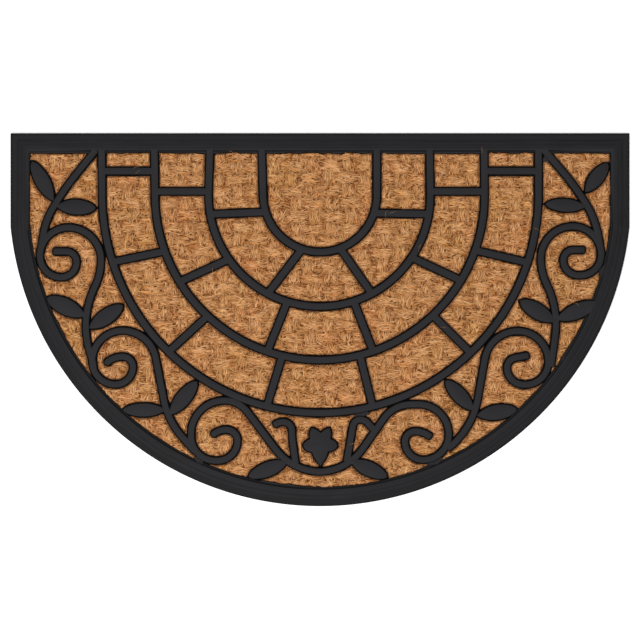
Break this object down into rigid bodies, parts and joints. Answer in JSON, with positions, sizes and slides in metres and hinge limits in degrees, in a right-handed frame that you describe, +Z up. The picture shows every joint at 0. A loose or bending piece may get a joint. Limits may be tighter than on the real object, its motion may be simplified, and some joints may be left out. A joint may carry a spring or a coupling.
{
  "type": "half round coir doormat",
  "caption": "Half round doormat: woven coir held in a moulded rubber border with a fan, scrolls, leaves and a small flower.",
  "frame": {"origin": "on the floor, under the middle of the box that bounds the mat", "axes": "+Z up from the floor; +Y towards the straight edge; +X along the straight edge, to the right seen from above with the straight edge at the top"},
  "size_m": [0.75, 0.452, 0.008],
  "materials": {
    "coir": "matte",
    "rubber": "satin"
  },
  "bodies": {
    "root": {"coir_mat": "coir", "rubber_moulding": "rubber"}
  },
  "joints": []
}
